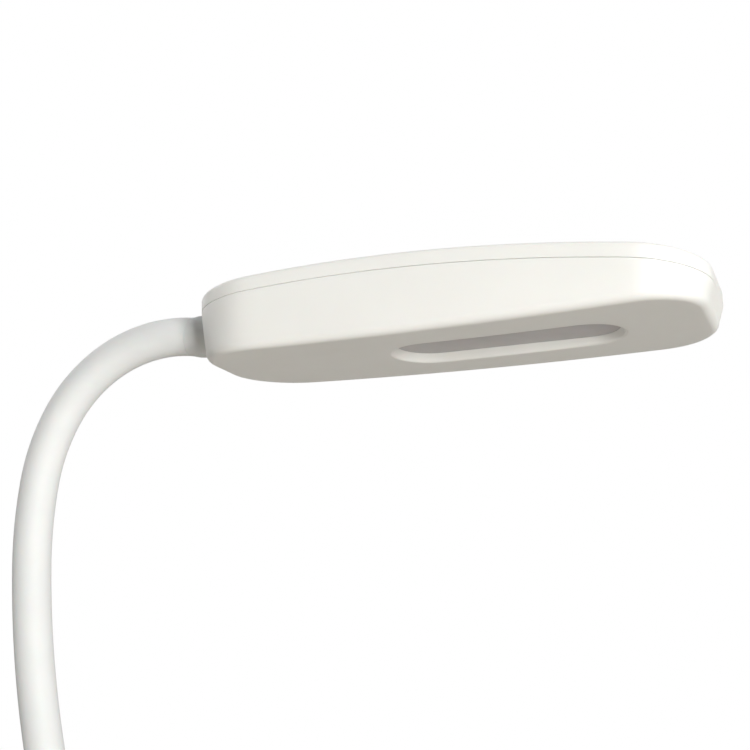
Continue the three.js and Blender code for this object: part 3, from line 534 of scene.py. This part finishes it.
def base_cover():
    def top(x, y):
        return BASE_TOP + crown(BASE_PLAN, BASE_TOP_EDGE, BASE_CROWN, x, y)

    low = BASE_SEAM + GAP / 2
    inside = BASE_WALL + GAP
    outer = [ring(BASE_PLAN, inside, low)]
    outer += [ring(BASE_PLAN, inset, low + rise) for inset, rise in quarter(BASE_SEAM_EDGE, 4)]
    outer += [ring(BASE_PLAN, 0, z) for z in (12, 16, 20)]
    edge = quarter(BASE_TOP_EDGE, 14)
    outer += [ring(BASE_PLAN, inset, BASE_TOP - drop) for inset, drop in reversed(edge)]
    outer += [ring(BASE_PLAN, BASE_TOP_EDGE, top, squeeze) for squeeze in (0.95, 0.85, 0.7, 0.5, 0.3, 0.15)]
    inner = [ring(BASE_PLAN, BASE_TOP_EDGE, BASE_TOP - BASE_WALL, squeeze) for squeeze in (0.5, 1)]
    inner.append(ring(BASE_PLAN, inside, BASE_TOP - 5))
    cover = moved(closed_shell("case_cover", outer, inner), BASE_X)
    under, above = 20, 30  # well inside the case and well over it
    rounded_edge = [(7.25, 25), (7.35, 25.35), (7.6, 25.62), (8.4, 25.85)]
    button = turned("tool", [(0, under), (7.25, under), *rounded_edge, (8.4, above), (0, above)], 96)
    tools = [
        moved(button, BUTTON_X),
        moved(cylinder_tool(6, under, above, 64), NECK_BASE.x),
        moved(cylinder_tool(1.4, under, above, 40), LIGHT_PIPE_X),
        usb_slot_tool(),
    ]
    return boolean(cover, tools)


def usb_slot_tool():
    """The opening for the charging plug, flared at the case's face."""
    half_width, half_height = 4.9, 2.0
    section = stadium_points(half_width, half_height, 12)
    rings = []
    for x, grow in ((-80, 0.9), (-76.0, 0.45), (-75.5, 0.12), (-75.0, 0), (-70, 0)):
        wider, higher = 1 + grow / half_width, 1 + grow / half_height
        rings.append([(x, y * wider, USB_Z + z * higher) for y, z in section])
    return grid("tool", rings, capped=True)


def stadium_points(half_length, half_width, steps):
    """A slot's outline, counter-clockwise."""
    straight = half_length - half_width
    right = [(straight + x, y) for x, y in arc(0, 0, half_width, -90, 90, steps)]
    left = [(-straight + x, y) for x, y in arc(0, 0, half_width, 90, 270, steps)]
    return right + left


def base_tray():
    high = BASE_SEAM - GAP / 2
    outer = [ring(BASE_PLAN, BASE_WALL, high)]
    outer += [ring(BASE_PLAN, inset, high - drop) for inset, drop in quarter(BASE_SEAM_EDGE, 4)]
    outer += [ring(BASE_PLAN, 0, 7)]
    outer += [ring(BASE_PLAN, inset, BASE_BOTTOM + rise) for inset, rise in reversed(quarter(BASE_EDGE, 8))]
    outer += [ring(BASE_PLAN, BASE_EDGE, BASE_BOTTOM, squeeze) for squeeze in (0.8, 0.5, 0.2)]
    inner = [ring(BASE_PLAN, BASE_WALL, BASE_BOTTOM + BASE_WALL, squeeze) for squeeze in (0.5, 1)]
    tray = moved(closed_shell("case_tray", outer, inner), BASE_X)
    tray = boolean(tray, [hinge_ear(side) for side in (-1, 1)], "UNION")
    sink = [(0, 0), (3.0, 0), (3.0, 2.95), (2.75, 3.2), (2.75, 4.9), (0, 4.9)]
    return boolean(tray, [moved(turned("tool", sink, 48), x, y) for x, y in CASE_SCREW_SPOTS])


def pin_hole():
    return place(cylinder_tool(PIN_BORE, -30, 30, 40), ALONG_Y)


def hinge_ear(side):
    """An ear that hangs from the tray, flared where it joins it and round about the pin."""
    top, flare, flare_z = 10.8, 2.6, 7.45
    far = KNUCKLE_RADIUS + flare
    section = [(-far, top), (-far, flare_z + flare)]
    section += arc(-far, flare_z, flare, 90, 0, 8)[1:]
    section += arc(0, 0, KNUCKLE_RADIUS, 180, 360, 36)
    section += arc(far, flare_z, flare, 180, 90, 8)
    section += [(far, top)]
    low, high = sorted((side * EAR_INNER, side * EAR_OUTER))
    ear = boolean(slab("tool", section, low, high, 0.5, 3), [pin_hole()])
    return moved(ear, PIVOT.x, 0, PIVOT.z)


def slab(name, section, low, high, edge, steps):
    """A counter-clockwise side profile in (x, z), from y = low to y = high, with rounded edges."""
    points = [Vector(p) for p in section]
    inward = []
    for before, point, after in zip(points[-1:] + points, points, points[1:] + points[:1]):
        along = ((point - before).normalized() + (after - point).normalized()).normalized()
        inward.append(Vector((-along.y, along.x)))
    levels = [(low + rise, inset) for inset, rise in quarter(edge, steps)]
    levels += [(high - rise, inset) for inset, rise in reversed(quarter(edge, steps))]
    bm = bmesh.new()
    rows = []
    for y, inset in levels:
        shrunk = [point + way * inset for point, way in zip(points, inward)]
        rows.append([bm.verts.new(Vector((x, y, z)) * MM) for x, z in shrunk])
    skin(bm, rows)
    bm.faces.new(rows[0])
    bm.faces.new(rows[-1])
    return new_object(name, bm)


def power_button():
    """A cap with a dished top, a flange under the cover and a stem over the switch."""
    top = BASE_TOP + BASE_CROWN + 1.3
    flange = BASE_TOP - BASE_WALL - GAP
    stem_end, radius, edge, dish, dish_depth = 20.6, 7, 0.7, 4.8, 0.42
    profile = [(0, stem_end), (1.5, stem_end), (1.5, flange - 0.6), (8.2, flange - 0.6), (8.2, flange)]
    profile += [(radius, flange), (radius, top - 0.8)]
    profile += arc(radius - edge, top - edge, edge, 0, 90, 6)
    profile += [(5.6, top - 0.02), (5.3, top - 0.12), (dish, top - 0.3)]
    profile += [(r, top - dish_depth + 0.12 * (r / dish) ** 2) for r in (4, 3.2, 2.4, 1.6, 0.8, 0)]
    return moved(turned("button_cap", profile, 72), BUTTON_X)


# ---- The clip's jaw ----

HANDLE_ANGLE = math.radians(44)  # of the handle below the horizontal, with the clip shut
DOWN = Vector((-math.cos(HANDLE_ANGLE), -math.sin(HANDLE_ANGLE)))  # (x, z) along the handle
OUT = Vector((-math.sin(HANDLE_ANGLE), math.cos(HANDLE_ANGLE)))  # (x, z) up from the handle


def from_handle(along, away):
    return tuple(DOWN * along + OUT * away)


def curve(points, steps):
    """A Bezier curve's points, without the first."""
    made = []
    for i in range(1, steps + 1):
        t = i / steps
        level = [Vector(p) for p in points]
        while len(level) > 1:
            level = [a.lerp(b, t) for a, b in zip(level, level[1:])]
        made.append(tuple(level[0]))
    return made


def lower_jaw():
    """One lever, drawn about its pivot: the jaw under its pad, the knuckle, then the handle."""
    seat = -GAP - PAD["thickness"] - GAP - PIVOT.z
    tip, pad_back = 51.5, 18
    knuckle = arc(0, 0, KNUCKLE_RADIUS, -20, math.degrees(math.atan2(OUT.y, OUT.x)), 24)
    section = [(tip - 2, seat), (pad_back, seat)]
    section += curve([section[-1], (pad_back - 2.5, seat - 5), (10, -3.6), knuckle[0]], 14)
    section += knuckle[1:]
    section += curve([section[-1], from_handle(24, KNUCKLE_RADIUS), from_handle(44, 9.5)], 16)
    section += curve([section[-1], from_handle(47.5, 10), from_handle(47, 6.8)], 8)
    section += curve([section[-1], from_handle(26, -1.5), from_handle(8, -6.5)], 16)
    section += curve([section[-1], (0, -9), (12, -8.6)], 10)
    section += curve([section[-1], (30, -8), (tip - 4, -4.8)], 14)
    section += curve([section[-1], (tip, -4), (tip, 0)], 8)
    section += curve([section[-1], (tip, seat), (tip - 2, seat)], 8)[:-1]
    jaw = slab("jaw_lever", section, -JAW_HALF_WIDTH, JAW_HALF_WIDTH, 1.2, 5)
    tools = []
    for side in (-1, 1):  # room for the ears
        low, high = sorted((side * (EAR_INNER - GAP), side * 25))
        tools.append(place(cylinder_tool(12, low, high, 96), ALONG_Y))
    tools.append(place(cylinder_tool(6.6, -SPRING_SLOT, SPRING_SLOT, 64), ALONG_Y))
    tools += [pin_hole(), handle_channel(), *handle_grooves()]
    return moved(boolean(jaw, tools), PIVOT.x, 0, PIVOT.z)


def handle_frame():
    """Turns a slab's x along the handle and its z up from it."""
    return Matrix(((DOWN.x, 0, OUT.x, 0), (0, -1, 0, 0), (DOWN.y, 0, OUT.y, 0), (0, 0, 0, 1)))


def handle_channel():
    """The hollow for the spring's leg."""
    section = [(0, 3), (30, 3), (30, 12), (0, 12)]
    return place(slab("tool", section, -SPRING_SLOT, SPRING_SLOT, 0.01, 1), handle_frame())


def handle_grooves():
    """Grip grooves across the handle's lower face, which curves."""
    first, pitch, radius = 24, 3.6, 0.85
    tools = []
    for i in range(6):
        past = i * pitch
        face = -2.9 + 0.285 * past + 0.0045 * past**2
        section = arc(first + past, face - 0.35, radius, 0, 360, 16)[:-1]
        tools.append(place(slab("tool", section, -14.5, 14.5, 0.3, 2), handle_frame()))
    return tools


def jaw_pad(name, low, high, grip_low):
    """A pad with rounded edges and grip grooves on the face towards the other pad."""
    levels = [(low + rise, inset) for inset, rise in quarter(0.8, 4)]
    levels += [(high - rise, inset) for inset, rise in reversed(quarter(0.8, 4))]
    rings = []
    for z, inset in levels:
        plan = rounded_rectangle(PAD["half_length"] - inset, PAD["half_width"] - inset, 1.6)
        rings.append([(x, y, z) for x, y in plan])
    pad = grid(name, rings, capped=True)
    face = low if grip_low else high
    past_edge = PAD["half_width"] + 1
    tools = []
    for i in range(-4, 5):
        section = arc(i * 2.9, face, 0.65, 0, 360, 12)[:-1]
        tools.append(slab("tool", section, -past_edge, past_edge, 0.01, 1))
    return boolean(pad, tools)


def rounded_rectangle(a, b, r):
    points = []
    for sx, sy, first in ((1, 1, 0), (-1, 1, 90), (-1, -1, 180), (1, -1, 270)):
        points += arc(sx * (a - r), sy * (b - r), r, first, first + 90, 5)
    return points


def hinge_pin():
    """A pin with a low dome on each end, against the ears' outer faces."""
    end, dome_seat, shank = 19.8, 18.8, 1.6
    dome = [(0, -end), (1.2, -end), (1.9, -end + 0.15), (2.3, -end + 0.5), (2.4, -end + 0.9)]
    half = [*dome, (2.4, -dome_seat), (shank, -dome_seat)]
    profile = half + [(r, -z) for r, z in reversed(half)]
    return moved(place(turned("clip_pin", profile, 40), ALONG_Y), PIVOT.x, 0, PIVOT.z)


def torsion_spring():
    """A coil round the pin with one leg against the tray and one in the handle's channel."""
    radius, wire, turns, pitch, leg = 4.2, 0.8, 6, 1.9, 23
    leg_rise = 0.2  # radians
    start = math.pi / 2 - leg_rise
    end = start + turns * TAU + HANDLE_ANGLE + leg_rise
    half = pitch * turns / 2
    steps = 240
    path = []
    for i in range(steps + 1):
        angle = start + (end - start) * i / steps
        y = -half + 2 * half * i / steps
        path.append(Vector((radius * math.cos(angle), y, radius * math.sin(angle))))

    def leg_way(angle):
        return Vector((-math.sin(angle), 0, math.cos(angle)))

    first, last = path[0], path[-1]
    path = [first + leg_way(start) * leg * t for t in (1, 0.75, 0.5, 0.25, 0.08)] + path
    path += [last + leg_way(end) * leg * t for t in (0.08, 0.25, 0.5, 0.75, 1)]
    rings = []
    for i, point in enumerate(path):
        along = (path[min(i + 1, len(path) - 1)] - path[max(i - 1, 0)]).normalized()
        across = (Vector((0, 1, 0)) - along * along.y).normalized()
        rings.append(circle(point, across, along.cross(across), wire, 14))
    spring = moved(grid("clip_spring", rings, capped=True, sharp_angle=50), PIVOT.x, 0, PIVOT.z)
    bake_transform(spring)
    return spring


# ---- Materials ----


class Nodes:
    """Short calls for building one material's node tree."""

    def __init__(self, name):
        self.material = bpy.data.materials.new(name)
        self.material.use_nodes = True
        self.tree = self.material.node_tree
        self.shader = self.tree.nodes["Principled BSDF"]
        self.place = self.tree.nodes.new("ShaderNodeTexCoord").outputs["Object"]

    def node(self, kind, settings=None, **inputs):
        made = self.tree.nodes.new(kind)
        for key, value in (settings or {}).items():
            setattr(made, key, value)
        for key, value in inputs.items():
            self.give(made.inputs[key.replace("_", " ")], value)
        return made

    def give(self, socket, value):
        if isinstance(value, bpy.types.NodeSocket):
            self.tree.links.new(value, socket)
        else:
            socket.default_value = value

    def noise(self, scale, detail=4.0, roughness=0.55):
        """Noise whose scale is in waves per metre."""
        settings = {"Scale": scale, "Detail": detail, "Roughness": roughness}
        return self.node("ShaderNodeTexNoise", Vector=self.place, **settings).outputs["Fac"]

    def span(self, value, low, high):
        """A noise's usual range, 0.3 to 0.7, spread from low to high."""
        limits = {"From_Min": 0.3, "From_Max": 0.7, "To_Min": low, "To_Max": high}
        return self.node("ShaderNodeMapRange", Value=value, **limits).outputs["Result"]

    def ramp(self, value, low, high):
        """A colour between two, by a value from 0 to 1."""
        made = self.node("ShaderNodeMix", {"data_type": "RGBA"})
        self.give(made.inputs[0], value)
        made.inputs[6].default_value = (*low, 1)
        made.inputs[7].default_value = (*high, 1)
        return made.outputs[2]

    def bump(self, height, distance, strength=1.0, after=None):
        made = self.node("ShaderNodeBump", Height=height, Distance=distance, Strength=strength)
        if after is not None:
            self.give(made.inputs["Normal"], after)
        return made.outputs["Normal"]

    def shade(self, **inputs):
        for key, value in inputs.items():
            self.give(self.shader.inputs[key.replace("_", " ")], value)
        return self.material


def moulded_plastic(name, low, high, roughness=(0.38, 0.5), grain=0.00002):
    n = Nodes(name)
    broad = n.noise(28, 3)
    fine = n.noise(5200, 2, 0.6)
    flow = n.noise(240, 4)
    normal = n.bump(fine, grain)
    normal = n.bump(flow, 0.00003, 0.35, normal)
    return n.shade(
        Base_Color=n.ramp(n.span(broad, 0, 1), low, high),
        Roughness=n.span(flow, *roughness),
        Normal=normal,
        Specular_IOR_Level=0.42,
        Subsurface_Weight=0.06,
        Subsurface_Scale=0.002,
    )


def silicone(name, low, high, roughness=(0.52, 0.66)):
    n = Nodes(name)
    broad = n.noise(60, 3)
    dust = n.noise(1500, 6, 0.7)
    fine = n.noise(9000, 2)
    normal = n.bump(fine, 0.000012)
    normal = n.bump(dust, 0.00002, 0.5, normal)
    return n.shade(
        Base_Color=n.ramp(n.span(broad, 0, 1), low, high),
        Roughness=n.span(dust, *roughness),
        Normal=normal,
        Specular_IOR_Level=0.3,
        Sheen_Weight=0.15,
        Sheen_Roughness=0.5,
        Subsurface_Weight=0.1,
        Subsurface_Scale=0.002,
    )


def frosted_diffuser(name):
    n = Nodes(name)
    cloud = n.noise(120, 3)
    frost = n.noise(7000, 2)
    return n.shade(
        Base_Color=n.ramp(n.span(cloud, 0, 1), (0.51, 0.495, 0.503), (0.55, 0.53, 0.542)),
        Roughness=n.span(frost, 0.3, 0.42),
        Normal=n.bump(frost, 0.00001, 0.6),
        Specular_IOR_Level=0.5,
        Subsurface_Weight=0.25,
        Subsurface_Scale=0.003,
    )


def brushed_metal(name, tint, stretch=(1, 1, 40), roughness=(0.25, 0.42)):
    n = Nodes(name)
    lines = n.node("ShaderNodeMapping", Vector=n.place, Scale=stretch).outputs[0]
    scratch = n.node("ShaderNodeTexNoise", Vector=lines, Scale=900.0, Detail=5.0).outputs["Fac"]
    stain = n.noise(300, 5)
    dark = tuple(c * 0.82 for c in tint)
    return n.shade(
        Base_Color=n.ramp(n.span(stain, 0, 1), dark, tint),
        Metallic=1.0,
        Roughness=n.span(scratch, *roughness),
        Normal=n.bump(scratch, 0.000015, 0.6),
    )


def printed_board(name, mask, copper):
    n = Nodes(name)
    tracks = n.node("ShaderNodeTexBrick", Vector=n.place, Scale=700.0, Mortar_Size=0.03)
    tracks.inputs["Color1"].default_value = (*mask, 1)
    tracks.inputs["Color2"].default_value = (*(c * 0.8 for c in mask), 1)
    tracks.inputs["Mortar"].default_value = (*copper, 1)
    return n.shade(
        Base_Color=tracks.outputs["Color"],
        Roughness=n.span(n.noise(900), 0.3, 0.45),
        Normal=n.bump(tracks.outputs["Fac"], 0.00003),
    )


def coated(name, low, high, roughness, scale=400, bump=0.00002, **extra):
    n = Nodes(name)
    patch = n.noise(scale, 5)
    return n.shade(
        Base_Color=n.ramp(n.span(patch, 0, 1), low, high),
        Roughness=n.span(patch, *roughness),
        Normal=n.bump(patch, bump, 0.6),
        **extra,
    )


MATERIALS = {
    "white_plastic": moulded_plastic("white_plastic", (0.845, 0.845, 0.815), (0.875, 0.875, 0.848)),
    "sleeve_silicone": silicone("sleeve_silicone", (0.725, 0.735, 0.73), (0.755, 0.765, 0.76)),
    "pad_silicone": silicone("pad_silicone", (0.46, 0.46, 0.45), (0.52, 0.52, 0.51), (0.6, 0.75)),
    "diffuser": frosted_diffuser("diffuser"),
    "reflector_white": coated("reflector_white", (0.86, 0.86, 0.84), (0.9, 0.9, 0.88), (0.2, 0.3)),
    "board_aluminium": brushed_metal("board_aluminium", (0.78, 0.79, 0.8), (40, 1, 1)),
    "phosphor": coated("phosphor", (0.72, 0.5, 0.05), (0.82, 0.62, 0.1), (0.6, 0.8), 2000),
    "steel": brushed_metal("steel", (0.56, 0.57, 0.58)),
    "cable_jacket": coated("cable_jacket", (0.62, 0.62, 0.62), (0.7, 0.7, 0.7), (0.45, 0.6)),
    "battery_wrap": coated(
        "battery_wrap", (0.04, 0.13, 0.33), (0.05, 0.17, 0.4), (0.2, 0.35), scale=200, bump=0.00006
    ),
    "board_green": printed_board("board_green", (0.012, 0.13, 0.045), (0.03, 0.2, 0.07)),
    "dark_plastic": coated("dark_plastic", (0.018, 0.018, 0.022), (0.03, 0.03, 0.034), (0.4, 0.55), 1500),
    "clear_plastic": coated(
        "clear_plastic", (0.8, 0.86, 0.88), (0.86, 0.9, 0.92), (0.06, 0.14), Transmission_Weight=0.7
    ),
}


def paint(obj, slot):
    obj.data.materials.clear()
    obj.data.materials.append(MATERIALS[slot])


# ---- Assembly ----


def dress(piece, nodes, slot, body=None):
    """The piece stands for its CAD node or nodes and takes a slot's finish. A piece given no body is left
    unattached.
    """
    nodes = [nodes] if isinstance(nodes, str) else nodes
    paint(piece, slot)
    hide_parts(*nodes)
    if body:
        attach(piece, body)


for entry in frame["record"]["subparts"]:
    node = frame["nodes"][entry["node"]]
    paint(node, entry["material_slot"])
    smooth(node)

dress(head_lower_housing(), "head_lower_housing", "white_plastic", "lamp_head")
dress(head_top_cover(), "head_top_cover", "white_plastic", "lamp_head")
dress(neck_collar(), "neck_collar", "sleeve_silicone", "lamp_head")
for joint in range(1, NECK_JOINTS + 1):
    sleeves = ["neck_sleeve_0", "neck_sleeve_1"] if joint == 1 else [f"neck_sleeve_{joint}"]
    dress(neck_piece(joint), sleeves, "sleeve_silicone")
dress(neck_boot(), "neck_base_boot", "sleeve_silicone", "clip_base")
dress(base_cover(), "base_top_cover", "white_plastic", "clip_base")
dress(base_tray(), "base_bottom_tray", "white_plastic", "clip_base")
dress(power_button(), "power_button", "white_plastic", "power_button")
dress(hinge_pin(), "hinge_pin", "steel", "clip_base")
dress(torsion_spring(), "torsion_spring", "steel")
dress(lower_jaw(), "lower_jaw", "white_plastic", "clip_jaw")
upper_pad = jaw_pad("pad_upper", 0, PAD["thickness"], True)
dress(upper_pad, "upper_jaw_pad", "pad_silicone", "clip_base")
lower_pad = jaw_pad("pad_lower", -GAP - PAD["thickness"], -GAP, False)
dress(lower_pad, "lower_jaw_pad", "pad_silicone", "clip_jaw")


# ---- Studio ----


FLOOR_Z = -0.0353  # metres: half a millimetre under the handle's end
FLOOR_HALF = 0.9


def make_floor():
    bm = bmesh.new()
    corners = [(-1, -1), (1, -1), (1, 1), (-1, 1)]
    bm.faces.new([bm.verts.new((x * FLOOR_HALF, y * FLOOR_HALF, FLOOR_Z)) for x, y in corners])
    mesh = bpy.data.meshes.new("floor")
    bm.to_mesh(mesh)
    bm.free()
    floor = bpy.data.objects.new("floor", mesh)
    bpy.context.scene.collection.objects.link(floor)
    n = Nodes("floor")
    colour = n.ramp(n.noise(9), (0.63, 0.592, 0.54), (0.66, 0.622, 0.57))
    floor.data.materials.append(n.shade(Base_Color=colour, Roughness=0.8))


def make_light(name, spot, target, size, power, colour=(1, 1, 1)):
    """A soft rectangle at a spot in metres, turned to the target."""
    light = bpy.data.lights.new(name, "AREA")
    light.shape = "RECTANGLE"
    light.size, light.size_y = size
    light.energy = power
    light.color = colour
    obj = bpy.data.objects.new(name, light)
    obj.location = spot
    obj.rotation_euler = (Vector(target) - Vector(spot)).to_track_quat("-Z", "Y").to_euler()
    bpy.context.scene.collection.objects.link(obj)


FILL_FROM = (-0.25, 0.88, 0.4)  # the side that the fill light is brightest from
FILL = {"From Min": -0.8, "From Max": 0.9, "To Min": 0.03, "To Max": 0.5}  # strength by that direction


def make_world():
    """White to the camera. The lamp is lit by a grey that is brightest from behind and above."""
    world = bpy.data.worlds.new("studio")
    bpy.context.scene.world = world
    world.use_nodes = True
    tree = world.node_tree
    output = tree.nodes["World Output"]
    fill = tree.nodes["Background"]
    seen = tree.nodes.new("ShaderNodeBackground")
    seen.inputs["Color"].default_value = (1, 1, 1, 1)
    seen.inputs["Strength"].default_value = 1.0
    coordinates = tree.nodes.new("ShaderNodeTexCoord")
    side = tree.nodes.new("ShaderNodeVectorMath")
    side.operation = "DOT_PRODUCT"
    side.inputs[1].default_value = FILL_FROM
    tree.links.new(coordinates.outputs["Generated"], side.inputs[0])
    fade = tree.nodes.new("ShaderNodeMapRange")
    tree.links.new(side.outputs["Value"], fade.inputs["Value"])
    for key, number in FILL.items():
        fade.inputs[key].default_value = number
    tree.links.new(fade.outputs["Result"], fill.inputs["Strength"])
    fill.inputs["Color"].default_value = (1, 1, 0.99, 1)
    path = tree.nodes.new("ShaderNodeLightPath")
    mix = tree.nodes.new("ShaderNodeMixShader")
    tree.links.new(path.outputs["Is Camera Ray"], mix.inputs[0])
    tree.links.new(fill.outputs[0], mix.inputs[1])
    tree.links.new(seen.outputs[0], mix.inputs[2])
    tree.links.new(mix.outputs[0], output.inputs[0])


make_floor()
make_world()
target = (HEAD_X * MM, 0, HEAD_Z * MM)
make_light("key", (1.13, -1.2, 0.22), target, (0.42, 0.6), 28.5, (1, 0.995, 0.98))
make_light("left", (-0.95, 0.3, 0.8), target, (0.9, 0.9), 4.5)
make_light("top", (0.15, 0.1, 1.1), target, (0.8, 0.8), 1.2)
bpy.context.scene.view_settings.view_transform = "Standard"
